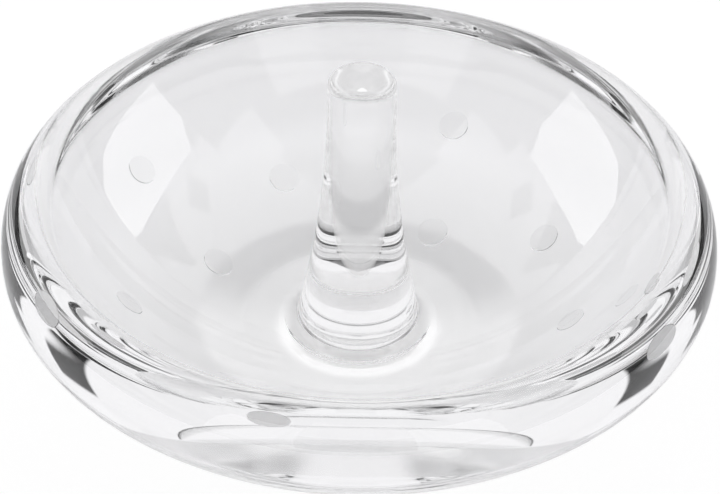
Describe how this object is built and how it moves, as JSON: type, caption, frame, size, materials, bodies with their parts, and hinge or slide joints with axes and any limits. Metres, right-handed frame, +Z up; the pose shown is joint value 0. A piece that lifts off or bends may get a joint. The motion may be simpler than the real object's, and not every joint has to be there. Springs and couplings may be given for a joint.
{
  "type": "ring dish",
  "caption": "Round thick-walled crystal dish with a rolled rim and a tapered upright post on its floor, for keeping rings and small jewellery.",
  "frame": {"origin": "centre of the flat base, on the surface that the dish stands on", "axes": "+Z up, along the post and the axis that the dish is turned about; +X to the right and +Y away in the picture's view"},
  "size_m": [0.102, 0.102, 0.0472],
  "materials": {
    "dish_crystal": "polished clear crystal with etched frosted dots",
    "post_crystal": "polished clear crystal",
    "clear_bond": "clear cured adhesive"
  },
  "bodies": {
    "root": {"bowl": "dish_crystal", "ring_post": "post_crystal", "bond_layer": "clear_bond"}
  },
  "joints": []
}
